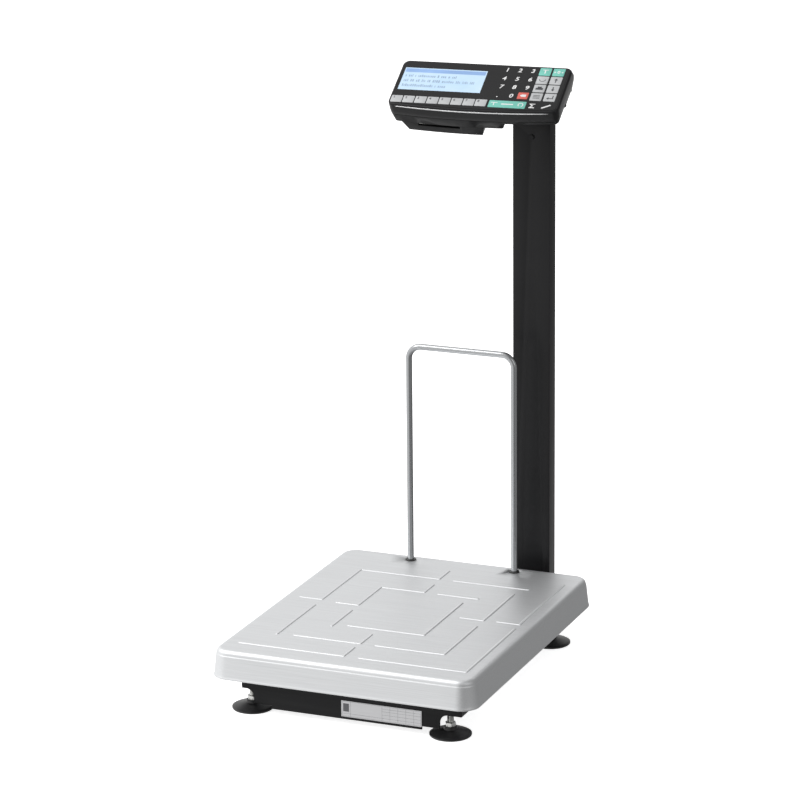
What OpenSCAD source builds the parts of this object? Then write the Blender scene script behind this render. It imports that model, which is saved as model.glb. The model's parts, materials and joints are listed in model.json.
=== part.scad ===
// Platform scale with a steel pan, a column and a label printing terminal.
// Frame: +Z up, +Y to the rear, Z = 0 on the floor, origin under the middle of the whole scale.

/* [Pan] */
// Width of the pan at its rim
pan_w = 404; // [360:1:440]
// Depth of the pan at its rim
pan_d = 504; // [460:1:540]
// Height of the pan's skirt
pan_h = 42; // [36:1:44]
// Height of the weighing surface above the floor
pan_top = 95; // [92:1:100]
// Thickness of the pan's sheet
pan_sheet = 1.2; // [0.8:0.1:1.5]
// Corner radius at the rim
pan_corner = 28; // [20:1:40]
// Radius of the pan's top edge
pan_edge = 7; // [4:1:9]
// How far the skirt spreads from its top to its rim
pan_draft = 5; // [0:0.5:6]
// Width of an embossed rib
rib_w = 5; // [4:0.5:7]
// Height of an embossed rib
rib_h = 1.5; // [0.8:0.1:2]

/* [Backrest rail] */
// Distance between the rail's legs
rail_span = 167.4; // [120:1:200]
// Diameter of the rail
rail_d = 9.5; // [8:0.5:12]
// Height of the rail above the weighing surface
rail_h = 341; // [200:1:400]
// Centre-line radius of the rail's bends
rail_bend = 19; // [12:1:40]
// Distance from the pan's middle back to the rail
rail_y = 225; // [215:1:228]

/* [Base] */
// Left end of the base's channels, from the pan's middle
base_left = 161; // [160:1:166]
// Right end of the base's channels, from the pan's middle
base_right = 175; // [166:1:178]
// Face of the front channel, ahead of the pan's middle
front_face = 225; // [220:1:232]
// Face of the rear channel, behind the pan's middle
rear_face = 215; // [213:1:216]
// Thickness of the base's steel
steel_t = 3; // [2:0.5:3]
// Half the distance between left and right feet
foot_x = 151.5; // [148:0.5:153]
// Front feet, ahead of the pan's middle
foot_front = 208; // [205:1:211]
// Rear feet, behind the pan's middle
foot_rear = 198; // [195:1:199]
// Diameter of a foot
foot_d = 60; // [40:1:64]

/* [Column] */
// Width of the column
column_w = 58; // [54:1:62]
// Depth of the column
column_d = 24; // [22:1:25]
// Column's middle, right of the pan's middle
column_x = 93; // [90:1:95]
// Height of the column's top above the floor
column_top = 773; // [700:1:773]

/* [Terminal] */
// Width of the terminal
term_w = 256; // [250:1:262]
// Length of the terminal's face down its slope, in its middle
face_l = 107; // [105:1:109]
// Slope of the face from level
face_tilt = 28.4; // [28:0.1:29]
// Turn of the terminal on the column
term_yaw = 4.9; // [0:0.1:8]
// Height of the face's top edge above the floor
term_z = 858.8; // [858:0.1:870]
// Diameter of the label roll
roll_d = 36; // [24:1:36]
// Width of the labels
label_w = 60; // [40:1:60]

/* [Hidden] */
$fn = 48;

gap = 0.5;            // between pieces that only lie side by side
running = 0.05;       // radial clearance of a turning fit
pan_y = -25;          // the pan's middle in the scale's frame
top_z = 60;           // top of the base's channels
ear_z = 34;           // underside of a channel's end, over the foot
face_z = 8;           // underside of a channel's middle
step_z = 13;          // underside beside the middle
face_half = 115;      // half the width of the low middle
notch_x = 142;        // where the notch over a foot begins
notch_r = 12;
flange_d = 35;        // depth of the channels
foot_plate_z = 38;    // underside of the plate that holds a foot
plate_x = 130;        // inner side of that plate
rail_x = 95;          // inner side of the base's rails
rail_w = 30;
rail_z = 20;
tube_h = 25;
tube_wall = 2;
beam_y = 27;          // front of the beam that holds the load cell
beam_d = 45;
beam_z = 12;
beam_h = 16;
cell_y = -5;          // the load cell's middle
cell_l = 150;
cell_w = 30;
cell_z = 32;
cell_h = 22;
cell_bolt_y = [40, 58];
bolt_r = 4;
spider_z = 60;
spider_t = 4;
bar_w = 20;
bar_x = 50;           // middle of the long bars
bar_y = 185;          // middle of the cross bars
cross_l = 330;
long_bar = 2 * bar_y - bar_w;
pad_x = 150;
pad_r = 12;
bracket_t = 4;
bracket_w = 82;
bracket_z = 20;
bracket_rear = 302;   // rear end of the bracket's foot
column_y = 274;       // the column's front, behind the pan's middle
column_wall = 2;
column_z = bracket_z + bracket_t;
bolt_m6 = 3;
bracket_bolt_x = [60, 128];
bracket_bolt_z = 51;
column_bolt_x = 110;
column_bolt_z = [34, 52];
stand_y = column_y - bracket_t - 0.3;
head_screw_drop = 22; // small screw below the column's top
cable_r = 2.5;
cable_x = 80;
cable_z = 50;
stem_r = 5;
nut_r = 7.4;          // over the corners; its flats face the channel's ends
thread_top = 52;
socket_r = 6.5;
socket_h = 22;

// Ribs pressed up out of the pan: open runs of straight ribs, from the pan's middle
rib_runs = [
    [[-170, 7], [-136, 7], [-136, 154], [-9, 154], [-9, 193]],
    [[15, 154], [133, 154]],
    [[141, 5], [175, 5], [175, 192]],
    [[175, -16], [175, -207], [14, -207]],
    [[-10, -170], [-10, -207], [-171, -207]],
    [[-136, -20], [-136, -155]],
    [[-110, 2], [-76, 2], [-76, 89], [-7, 89], [-7, 126]],
    [[16, 89], [78, 89]],
    [[85, 3], [120, 3], [120, 126]],
    [[120, -25], [120, -151], [16, -151]],
    [[-8, -111], [-8, -151], [-110, -151]],
    [[-76, -24], [-76, -96]],
    [[-54, -86], [63, -86], [63, 63]]
];

// Route of the load cell's cable, from the cell through the base and up the column
cable_route = [
    [0, 71, cable_z], [0, 84, cable_z], [cable_x, 84, cable_z], [cable_x, 286, cable_z],
    [cable_x, 286, 728]
];

// Terminal: its origin is the middle of the face's top edge
term_x = 30.8;
term_y = 235.9;
bow = 7;              // how far the front edge bends out in its middle
bow_half = 128;       // half its width
bow_r = (bow_half * bow_half + bow * bow) / (2 * bow);
case_r = 10;
front_corner_s = bow_r - face_l - sqrt(pow(bow_r - case_r, 2) - pow(term_w / 2 - case_r, 2));
case_wall = 2.5;
rear_out = 8.6;       // how far the back stands out behind the face's top edge
seam_n = -21;         // depth of the joint between the case halves below the face
lip_n = -25.5;        // underside of the right front quarter
floor_n = -36.5;      // underside of the rest
rear_s = -45;         // where the right front quarter ends
quarter_x = 44;       // and its left side
trim_half = 116;
lcd_x = [-120, 4];
lcd_s = [-67, -18];
boss_r = 4;
screw_spots = [[-117.5, -80], [117.5, -80], [-117.5, -19.5], [117.5, -19.5]];
case_foot_x = 117.3;
case_foot_s = [-37, -2];
port_x = [-60, -30];
port_s = 5;           // outside of the back wall at the ports
port_r = 4;
port_n = -29;
arm_x = 64;           // column's axis from the terminal's middle
arm_w = 20;           // column's axis behind the face's top edge
pivot_w = -4;         // tilt axis
pivot_z = -56;
pivot_s = pivot_w * cos(face_tilt) + pivot_z * sin(face_tilt);
pivot_n = pivot_z * cos(face_tilt) - pivot_w * sin(face_tilt);
ear_half = 23;
bay_x = [-108, 10];   // opening in the case's floor over the printer
bay_s = [-95, -14];
door_x = [-112, 13.5];
door_top_n = floor_n - 0.6;
door_rear_s = -18;
pod_x = [-103, 9.5];  // sides of the door's flat bottom
pod_n = -52;
bulge_x = [-102, -8];
bulge_n = -60.5;
pin_s = -13;
pin_n = -41.5;
door_lug_x = [-87, -14];
door_knuckle_x = [-101, -8];
chassis_x = [-98, -14, -6];
chassis_s = [-92, -24];
label_x = -55;        // middle of the label roll
core_r = 7;
roll_s = -40;
roll_n = -39.5;
platen_s = -88;
platen_n = -42.5;
platen_r = 5;
gear_m = 0.8;
gear_w = 4;
gear_x = -11;
platen_teeth = 14;
pinion_teeth = 10;
mesh_angle = 50;      // direction from the platen to the motor, up from the face's slope
mesh_d = gear_m * (platen_teeth + pinion_teeth) / 2;
motor_s = platen_s + mesh_d * cos(mesh_angle);
motor_n = platen_n + mesh_d * sin(mesh_angle);
tear_s = -97.5;
tear_teeth = 20;

steel_black = [0.14, 0.14, 0.15];
plastic_black = [0.09, 0.09, 0.1];
stainless = [0.82, 0.83, 0.84];
zinc = [0.75, 0.75, 0.72];

module on_base() translate([0, pan_y, 0]) children();
module on_terminal() translate([term_x, term_y, term_z]) rotate([0, 0, term_yaw]) children();
module on_face() on_terminal() rotate([face_tilt, 0, 0]) children();

// A prism along X whose section is drawn in Y and Z
module prism(x0, x1) translate([x0, 0, 0]) rotate([90, 0, 90]) linear_extrude(x1 - x0) children();
// A rod along X at a place in Y and Z
module rod_x(x0, x1, y, z, r) translate([x0, y, z]) rotate([0, 90, 0]) cylinder(r = r, h = x1 - x0);
// A rod along Y at a place in X and Z
module rod_y(y0, y1, x, z, r) translate([x, y0, z]) rotate([-90, 0, 0]) cylinder(r = r, h = y1 - y0);
module block(x0, x1, y0, y1, z0, z1) translate([x0, y0, z0]) cube([x1 - x0, y1 - y0, z1 - z0]);

module rod_between(a, b, r) {
    v = b - a;
    l = norm(v);
    translate(a) rotate([0, acos(v[2] / l), atan2(v[1], v[0])]) cylinder(r = r, h = l);
}

// ---- base ----

module channel_face() {
    difference() {
        translate([-base_left, face_z]) square([base_left + base_right, top_z - face_z]);
        for (side = [-1, 1]) scale([side, 1]) {
            translate([face_half, 0]) square([base_right, step_z]);
            translate([notch_x, 0]) square([base_right, ear_z - notch_r]);
            translate([notch_x + notch_r, 0]) square([base_right, ear_z]);
            translate([notch_x + notch_r, ear_z - notch_r]) circle(notch_r);
        }
    }
}

// Folded channel whose face looks towards -Y; feet hang foot_in behind the face
module channel(foot_in) {
    difference() {
        union() {
            translate([0, steel_t, 0]) rotate([90, 0, 0]) linear_extrude(steel_t) channel_face();
            block(-base_left, base_right, 0, flange_d, top_z - steel_t, top_z);
            for (x = [-base_left, base_right - steel_t])
                block(x, x + steel_t, 0, flange_d, ear_z, top_z);
            block(-base_left, -plate_x, 0, flange_d, foot_plate_z, foot_plate_z + steel_t);
            block(plate_x, base_right, 0, flange_d, foot_plate_z, foot_plate_z + steel_t);
        }
        for (side = [-1, 1]) translate([side * foot_x, foot_in, foot_plate_z - 1])
            cylinder(r = stem_r + running, h = steel_t + 2);
    }
}

module front_channel() color(steel_black) on_base() translate([0, -front_face, 0])
    channel(front_face - foot_front);

module rear_channel() color(steel_black) on_base() difference() {
    translate([0, rear_face, 0]) mirror([0, 1, 0]) channel(rear_face - foot_rear);
    rod_y(rear_face - 10, rear_face + 10, cable_x, cable_z, cable_r + 2);
    for (x = bracket_bolt_x) rod_y(rear_face - 10, rear_face + 10, x, bracket_bolt_z, bolt_m6 + 0.2);
}

module base_rail(side) color(steel_black) on_base() {
    x0 = side < 0 ? -rail_x - rail_w : rail_x;
    y0 = -front_face + steel_t;
    y1 = rear_face - steel_t;
    difference() {
        block(x0, x0 + rail_w, y0, y1, rail_z, rail_z + tube_h);
        block(x0 + tube_wall, x0 + rail_w - tube_wall, y0 - 1, y1 + 1,
            rail_z + tube_wall, rail_z + tube_h - tube_wall);
    }
}
module left_rail() base_rail(-1);
module right_rail() base_rail(1);

module cell_bolt_holes(r) for (y = cell_bolt_y, s = [-1, 1])
    translate([0, cell_y + s * y, 0]) cylinder(r = r, h = 100);

module cell_beam() color(steel_black) on_base() difference() {
    block(-rail_x, rail_x, beam_y, beam_y + beam_d, beam_z, beam_z + beam_h);
    block(-rail_x - 1, rail_x + 1, beam_y + 3, beam_y + beam_d - 3, beam_z + 3, beam_z + beam_h - 3);
    cell_bolt_holes(bolt_r);
}

module cell_spacers() color(zinc) on_base() difference() {
    union() {
        block(-cell_w / 2, cell_w / 2, beam_y, cell_y + cell_l / 2, beam_z + beam_h, cell_z);
        block(-cell_w / 2, cell_w / 2, cell_y - cell_l / 2, cell_y - 33, cell_z + cell_h, spider_z);
    }
    cell_bolt_holes(bolt_r);
}

// Bending-beam cell: the thinned middle is two cross bores joined by a slot
module load_cell() color([0.8, 0.8, 0.82]) on_base() difference() {
    block(-cell_w / 2, cell_w / 2, cell_y - cell_l / 2, cell_y + cell_l / 2, cell_z, cell_z + cell_h);
    for (s = [-1, 1]) rod_x(-cell_w, cell_w, cell_y + s * 14, cell_z + cell_h / 2, 8);
    block(-cell_w, cell_w, cell_y - 14, cell_y + 14, cell_z + cell_h / 2 - 3, cell_z + cell_h / 2 + 3);
    cell_bolt_holes(bolt_r);
}

module hex_bolt(length, r) {
    cylinder(r = r, h = length);
    translate([0, 0, -5]) cylinder(r = r * 1.7, h = 5, $fn = 6);
}

module cell_bolts() color(zinc) on_base() for (y = cell_bolt_y) {
    translate([0, cell_y + y, cell_z + cell_h]) mirror([0, 0, 1])
        hex_bolt(cell_h + cell_z - beam_z - beam_h + 3, bolt_r);
    translate([0, cell_y - y, cell_z]) hex_bolt(spider_z + spider_t - cell_z, bolt_r);
}

module spider_plate() color(steel_black) on_base() difference() {
    block(-bar_x - bar_w / 2, bar_x + bar_w / 2, cell_y - cell_l / 2 - 5, cell_y + 60,
        spider_z, spider_z + spider_t);
    cell_bolt_holes(bolt_r);
    block(-cell_w, cell_w, cell_y + 30, cell_y + 70, spider_z - 1, spider_z + 10);
}

module bar(x, y, w, d) difference() {
    block(x - w / 2, x + w / 2, y - d / 2, y + d / 2, spider_z + spider_t, spider_z + spider_t + bar_w);
    if (w > d) block(x - w, x + w, y - d / 2 + tube_wall, y + d / 2 - tube_wall,
        spider_z + spider_t + tube_wall, spider_z + spider_t + bar_w - tube_wall);
    else block(x - w / 2 + tube_wall, x + w / 2 - tube_wall, y - d, y + d,
        spider_z + spider_t + tube_wall, spider_z + spider_t + bar_w - tube_wall);
}
module spider_left_bar() color(steel_black) on_base() bar(-bar_x, 0, bar_w, long_bar);
module spider_right_bar() color(steel_black) on_base() bar(bar_x, 0, bar_w, long_bar);
module spider_front_bar() color(steel_black) on_base() bar(0, -bar_y, cross_l, bar_w);
module spider_rear_bar() color(steel_black) on_base() bar(0, bar_y, cross_l, bar_w);

module pan_pads() color([0.1, 0.1, 0.1]) on_base() for (x = [-1, 1], y = [-1, 1]) {
    z0 = spider_z + spider_t + bar_w;
    translate([x * pad_x, y * bar_y, z0]) cylinder(r1 = pad_r, r2 = pad_r - 2, h = pan_top - pan_sheet - z0);
}

module weld_nuts() color(zinc) on_base()
    for (x = [-1, 1], y = [-foot_front, foot_rear]) translate([x * foot_x, y, foot_plate_z + steel_t])
        difference() {
            rotate(30) cylinder(r = nut_r, h = 8, $fn = 6);
            translate([0, 0, -1]) cylinder(r = stem_r + running, h = 10);
        }

module rating_plate() color([0.85, 0.85, 0.86]) on_base()
    block(-7, 115, -front_face - 0.6, -front_face, 12, 36);

// ---- feet ----

module foot_at(side, y) on_base() translate([side * foot_x, y, 0]) children();

module foot_pad() color([0.08, 0.08, 0.08]) difference() {
    rotate_extrude() polygon([
        [0, 0], [foot_d / 2 - 1, 0], [foot_d / 2, 1], [foot_d / 2, 3], [foot_d / 2 - 3, 4.5],
        [14, 8], [10, 9], [9, 13], [0, 13]
    ]);
    translate([0, 0, 6]) cylinder(r = stem_r, h = 10);
}

module foot_stem() color(zinc) {
    translate([0, 0, 6]) cylinder(r = stem_r, h = thread_top - 6);
    translate([0, 0, 13]) cylinder(r = 8, h = 6, $fn = 6);
}

module foot_pad_fl() foot_at(-1, -foot_front) foot_pad();
module foot_pad_fr() foot_at(1, -foot_front) foot_pad();
module foot_pad_rl() foot_at(-1, foot_rear) foot_pad();
module foot_pad_rr() foot_at(1, foot_rear) foot_pad();
module foot_stem_fl() foot_at(-1, -foot_front) foot_stem();
module foot_stem_fr() foot_at(1, -foot_front) foot_stem();
module foot_stem_rl() foot_at(-1, foot_rear) foot_stem();
module foot_stem_rr() foot_at(1, foot_rear) foot_stem();

// ---- column ----

module column_bracket() color(steel_black) on_base() difference() {
    x0 = column_x - bracket_w / 2;
    x1 = column_x + bracket_w / 2;
    union() {
        block(x0, x1, rear_face, rear_face + bracket_t, bracket_z, 56);
        block(x0, x1, rear_face, bracket_rear, bracket_z, column_z);
        block(x0, x1, stand_y, stand_y + bracket_t, bracket_z, 60);
    }
    rod_y(rear_face - 5, column_y + 5, cable_x, cable_z, cable_r + 2);
    for (x = bracket_bolt_x) rod_y(rear_face - 5, rear_face + 10, x, bracket_bolt_z, bolt_m6 + 0.2);
    for (z = column_bolt_z) rod_y(stand_y - 5, stand_y + 10, column_bolt_x, z, bolt_m6 + 0.2);
}

module column() color(steel_black) on_base() difference() {
    x0 = column_x - column_w / 2;
    x1 = column_x + column_w / 2;
    block(x0, x1, column_y, column_y + column_d, column_z, column_top);
    block(x0 + column_wall, x1 - column_wall, column_y + column_wall, column_y + column_d - column_wall,
        column_z - 1, column_top + 1);
    rod_y(column_y - 1, column_y + column_wall + 1, cable_x, cable_z, cable_r + 2);
    for (z = column_bolt_z) rod_y(column_y - 1, column_y + 10, column_bolt_x, z, bolt_m6 + 0.2);
    rod_y(column_y - 1, column_y + 10, column_x, column_top - head_screw_drop, 2.2);
}

module bolt_y(x, y, z, length) translate([x, y, z]) rotate([-90, 0, 0]) {
    hex_bolt(length + 5, bolt_m6);
    translate([0, 0, length]) cylinder(r = 5, h = 4, $fn = 6);
}

module column_bolts() color(zinc) on_base() {
    for (z = column_bolt_z) bolt_y(column_bolt_x, stand_y, z, column_y + column_wall - stand_y);
    for (x = bracket_bolt_x) translate([0, 2 * (rear_face + bracket_t), 0]) mirror([0, 1, 0])
        bolt_y(x, rear_face + bracket_t, bracket_bolt_z, bracket_t + steel_t);
}

// Block inside the column's top that carries the swivel
module column_head() color(steel_black) difference() {
    inner_w = column_w - 2 * column_wall - 0.6;
    inner_d = column_d - 2 * column_wall - 0.6;
    on_base() translate([column_x, column_y + column_d / 2, 0]) difference() {
        union() {
            block(-inner_w / 2, inner_w / 2, -inner_d / 2, inner_d / 2, column_top - 40, column_top);
            block(-column_w / 2, column_w / 2, -column_d / 2, column_d / 2, column_top, column_top + 3);
        }
        rod_y(-20, 0, 0, column_top - head_screw_drop, 1.9);
        block(-inner_w / 2 + 6, -inner_w / 2 + 14, -4, 4, column_top - 50, column_top + 5);
    }
    on_terminal() translate([arm_x, arm_w, column_top - 30 - term_z]) cylinder(r = 4 + running, h = 40);
}

module column_screw() color(zinc) on_base() {
    rod_y(column_y - 1.8, column_y, column_x, column_top - head_screw_drop, 4);
    rod_y(column_y - 1, column_y + 7, column_x, column_top - head_screw_drop, 1.9);
}

module cell_cable() color([0.12, 0.12, 0.12]) on_base() for (i = [1:len(cable_route) - 1]) {
    rod_between(cable_route[i - 1], cable_route[i], cable_r);
    translate(cable_route[i]) sphere(cable_r);
}

// ---- pan and rail ----

module pan_corners(inset) {
    w = pan_w / 2 - inset;
    d = pan_d / 2 - inset;
    r = pan_corner - inset;
    for (x = [-1, 1], y = [-1, 1]) translate([x * (w - r), y * (d - r), 0]) children();
}

// Solid of the pan's outer shape, shrunk by t
module pan_form(t) hull() {
    r = pan_corner - t;
    r_top = r - pan_draft;
    pan_corners(t) translate([0, 0, pan_top - pan_h - (t > 0 ? 1 : 0)]) cylinder(r = r, h = 1);
    for (a = [0:30:90]) pan_corners(t)
        translate([0, 0, pan_top - t - pan_edge * (1 - sin(a)) - 0.01])
            cylinder(r = r_top - pan_edge * (1 - cos(a)), h = 0.01);
}

module rib_run(points) {
    for (i = [1:len(points) - 1]) {
        v = points[i] - points[i - 1];
        translate(points[i - 1]) rotate(atan2(v[1], v[0]))
            translate([0, -rib_w / 2]) square([norm(v), rib_w]);
    }
    for (p = points) translate(p) circle(rib_w / 2);
}

module pan() color(stainless) on_base() difference() {
    union() {
        difference() {
            pan_form(0, $fn = 32);
            pan_form(pan_sheet, $fn = 32);
        }
        translate([0, 0, pan_top - 0.6]) linear_extrude(rib_h + 0.6)
            for (run = rib_runs) rib_run(run);
    }
    for (s = [-1, 1]) translate([s * rail_span / 2, rail_y, pan_top - 5]) cylinder(r = socket_r, h = 10);
}

module rail_sockets() color([0.2, 0.2, 0.2]) on_base() for (s = [-1, 1])
    translate([s * rail_span / 2, rail_y, 0]) difference() {
        union() {
            translate([0, 0, pan_top]) cylinder(r = 8, h = 1.5);
            translate([0, 0, pan_top - socket_h]) cylinder(r = socket_r, h = socket_h);
        }
        translate([0, 0, pan_top - socket_h + 2]) cylinder(r = rail_d / 2 + running, h = 30);
    }

module backrest_rail() color(stainless) on_base() translate([0, rail_y, 0]) {
    half = rail_span / 2;
    r = rail_d / 2;
    top = pan_top + rail_h - r;
    foot = pan_top - 19;
    for (s = [-1, 1]) {
        translate([s * half, 0, foot]) cylinder(r = r, h = top - rail_bend - foot);
        translate([s * (half - rail_bend), 0, top - rail_bend]) rotate([90, 0, 0])
            rotate([0, 0, s > 0 ? 0 : 90]) rotate_extrude(angle = 90) translate([rail_bend, 0]) circle(r);
    }
    rod_x(-half + rail_bend, half - rail_bend, 0, top, r);
}

// ---- terminal's bracket ----

module terminal_bracket() color(steel_black) on_terminal() difference() {
    x0 = arm_x - ear_half;
    x1 = arm_x + ear_half;
    base_z = column_top + 3 + gap - term_z;
    union() {
        block(x0, x1, -14, arm_w + 11, base_z, base_z + 3);
        for (x = [x0, x1 - 3]) {
            block(x, x + 3, -14, 6, base_z, pivot_z);
            rod_x(x, x + 3, pivot_w, pivot_z, 10);
        }
    }
    translate([arm_x, arm_w, base_z - 1]) cylinder(r = 4, h = 5);
    rod_x(x0 - 1, x1 + 1, pivot_w, pivot_z, 3 + running);
}

module swivel_bolt() color(zinc) on_terminal() translate([arm_x, arm_w, 0]) {
    base_z = column_top + 3 + gap - term_z;
    translate([0, 0, base_z - 27]) cylinder(r = 4, h = 30);
    translate([0, 0, base_z + 3]) cylinder(r = 8, h = 1.5);
    translate([0, 0, base_z + 4.5]) cylinder(r = 6.8, h = 5, $fn = 6);
}

module tilt_screws() color(zinc) on_terminal() for (s = [-1, 1])
    translate([arm_x, pivot_w, pivot_z]) rotate([0, s * 90, 0]) {
        translate([0, 0, ear_half - 10]) cylinder(r = 3, h = 10.4);
        translate([0, 0, ear_half + 0.4]) cylinder(r = 6, h = 3);
    }

// ---- terminal's case ----

// Outline of the face shrunk by t: its front edge is an arc; rear moves the straight rear edge back
module outline(t, rear = 0) {
    side = term_w / 2 - case_r;
    reach = (bow_r - case_r) * sin(asin(side / (bow_r - case_r)));
    tangent = reach * (bow_r - t) / (bow_r - case_r);
    intersection() {
        translate([0, bow_r - face_l]) circle(bow_r - t, $fn = 720);
        translate([-tangent, -face_l]) square([2 * tangent, face_l / 2]);
    }
    translate([-term_w / 2 + t, front_corner_s]) square([term_w - 2 * t, rear - case_r - front_corner_s]);
    translate([-side, -face_l / 2]) square([2 * side, rear - t + face_l / 2]);
    for (x = [-side, side]) {
        translate([x, front_corner_s]) circle(max(case_r - t, 0.5));
        translate([x, rear - case_r]) circle(max(case_r - t, 0.5));
    }
}
module slab(n0, n1) translate([0, 0, n0]) linear_extrude(n1 - n0) children();
module sheet_at(n) slab(n, n + 0.01) children();

function floor_at(p) = p[0] > 0 && p[1] < rear_s ? lip_n : floor_n;

module upper_form(t) hull() {
    sheet_at(seam_n - (t > 0 ? 1 : 0)) outline(1.3 + t, rear_out, $fn = 32);
    sheet_at(-14) outline(0.5 + t, rear_out - 0.6, $fn = 32);
    sheet_at(-4.2) outline(t, 1, $fn = 32);
    sheet_at(-t - 1) outline(1 + t, $fn = 32);
    sheet_at(-t - 0.01) outline(3 + t, $fn = 32);
}

module upper_case() color(plastic_black) on_face() difference() {
    union() {
        difference() {
            upper_form(0);
            upper_form(case_wall);
        }
        for (p = screw_spots) translate([p[0], p[1], seam_n]) cylinder(r = boss_r, h = -seam_n - 1);
    }
    for (p = screw_spots) translate([p[0], p[1], seam_n - 1]) cylinder(r = 1.6, h = 16);
    translate([lcd_x[0], lcd_s[0], -5]) cube([lcd_x[1] - lcd_x[0], lcd_s[1] - lcd_s[0], 10]);
}

module lower_form(t) hull() {
    sheet_at(floor_n + t) outline(5.5 + t, rear_out, $fn = 32);
    sheet_at(seam_n - 0.01 + (t > 0 ? 1 : 0)) outline(1.3 + t, rear_out, $fn = 32);
}

// Space that the case leaves free under its right front quarter
module quarter(t) translate([0, rear_s + t, 0]) rotate([90, 0, 0]) linear_extrude(100) {
    translate([quarter_x - t, floor_n - 1]) square([term_w, lip_n - floor_n + 1 + t]);
    difference() {
        translate([quarter_x - t - 4, floor_n - 1]) square([5, 5]);
        translate([quarter_x - t - 4, floor_n + 4]) circle(4);
    }
}

module lower_case() color(plastic_black) on_face() difference() {
    union() {
        difference() {
            lower_form(0);
            difference() {
                lower_form(case_wall);
                quarter(case_wall);
            }
            quarter(0);
            block(bay_x[0], bay_x[1], bay_s[0], bay_s[1], floor_n - 1, floor_n + case_wall + 1);
        }
        for (p = screw_spots) translate([p[0], p[1], floor_at(p)])
            cylinder(r = boss_r, h = seam_n - floor_at(p));
        for (s = [-1, 1]) {
            x0 = arm_x + s * (ear_half - 6) - 2.5;
            rod_x(x0, x0 + 5, pivot_s, pivot_n, 8);
            block(x0, x0 + 5, pivot_s - 8, pivot_s + 8, pivot_n, floor_n + 1);
        }
        for (x = door_lug_x) {
            rod_x(x, x + 5, pin_s, pin_n, 4);
            block(x, x + 5, pin_s - 4, pin_s + 4, pin_n, floor_n + 1);
        }
    }
    rod_x(door_x[0], door_x[1], pin_s, pin_n, 2);
    rod_x(arm_x - 30, arm_x + 30, pivot_s, pivot_n, 3);
    for (p = screw_spots) translate([p[0], p[1], floor_n - 1]) cylinder(r = 1.6, h = 20);
    for (x = port_x) rod_y(port_s - 10, port_s + 10, x, port_n, port_r);
}

// Silver strip let into the front edge, bent to its arc
module trim_strip() color([0.8, 0.8, 0.82]) on_face() slab(-5, -3.6) difference() {
    intersection() {
        translate([0, bow_r - face_l]) circle(bow_r + 0.5, $fn = 720);
        translate([-trim_half, -face_l - 2]) square([2 * trim_half, 30]);
    }
    translate([0, bow_r - face_l]) circle(bow_r, $fn = 720);
}

module keypad_overlay() color([0.06, 0.06, 0.07]) on_face() slab(0, 0.4) difference() {
    outline(4);
    translate([lcd_x[0], lcd_s[0]]) square([lcd_x[1] - lcd_x[0], lcd_s[1] - lcd_s[0]]);
}

module lcd_window() color([0.75, 0.87, 0.95]) on_face()
    block(lcd_x[0], lcd_x[1], lcd_s[0], lcd_s[1], -case_wall, 0.2);

// Notched round the case's screw bosses
module lcd_module() color([0.2, 0.35, 0.25]) on_face() difference() {
    union() {
        block(lcd_x[0] - 1, lcd_x[1] + 2, lcd_s[0] - 2, lcd_s[1] + 3, -8, -case_wall);
        block(lcd_x[0] + 4, lcd_x[1] - 4, lcd_s[0] + 4, lcd_s[1] - 4, -11, -8);
    }
    for (p = screw_spots) translate([p[0], p[1], -12]) cylinder(r = boss_r + gap, h = 12);
}

module main_board() color([0.1, 0.35, 0.2]) on_face() {
    block(-100, 100, -78, -20, -17.6, -16);
    block(20, 50, -60, -40, -16, -13);
    block(60, 72, -70, -50, -16, -10);
}

module case_screws() color(zinc) on_face() for (p = screw_spots) {
    translate([p[0], p[1], floor_at(p) - 1.8]) cylinder(r = 3.2, h = 1.8);
    translate([p[0], p[1], floor_at(p) - 1]) cylinder(r = 1.6, h = seam_n + 10 - floor_at(p));
}

module case_feet() color([0.07, 0.07, 0.07]) on_face()
    for (x = [-1, 1], s = case_foot_s) translate([x * case_foot_x, s, floor_n - 5.5])
        cylinder(r1 = 4, r2 = 4.7, h = 5.5);

module port(x, r) on_face() difference() {
    rod_y(port_s - 4, port_s + 2.5, x, port_n, port_r);
    rod_y(port_s - 2, port_s + 5, x, port_n, r);
}
module power_inlet() color([0.1, 0.1, 0.1]) port(port_x[0], 2.75);
module data_port() color([0.3, 0.3, 0.3]) port(port_x[1], 2);

// ---- printer ----

module chassis_section() polygon([
    [chassis_s[0], -23], [bay_s[1] + 4, -23], [bay_s[1] + 4, floor_n + case_wall],
    [chassis_s[1], floor_n + case_wall], [chassis_s[1], -45], [-60, -45], [-76, -47], [chassis_s[0], -47]
]);

module printer_chassis() color(zinc) on_face() difference() {
    for (x = chassis_x) prism(x, x + 2) chassis_section();
    rod_x(chassis_x[0] - 5, chassis_x[1] + 5, roll_s, roll_n, 4);
    rod_x(chassis_x[2] - 1, chassis_x[2] + 5, roll_s, roll_n, 4);
    rod_x(chassis_x[0] - 5, chassis_x[2] + 5, platen_s, platen_n, 2 + running);
    rod_x(chassis_x[2] - 5, chassis_x[2] + 5, motor_s, motor_n, 1 + running);
}

module print_head() color([0.5, 0.5, 0.52]) on_face()
    block(chassis_x[0] + 2, chassis_x[1], platen_s - 5, platen_s + 7, platen_n + platen_r + 0.5, -27);

module tear_bar() color(zinc) on_face() {
    pitch = label_w / tear_teeth;
    x0 = label_x - label_w / 2;
    block(x0, x0 + label_w, tear_s, tear_s + 2.5, floor_n - 1.2, floor_n);
    for (i = [0:tear_teeth - 1]) translate([x0 + i * pitch, tear_s, floor_n - 1.2]) linear_extrude(1.2)
        polygon([[0, 0.5], [pitch, 0.5], [pitch / 2, -1]]);
}

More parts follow.
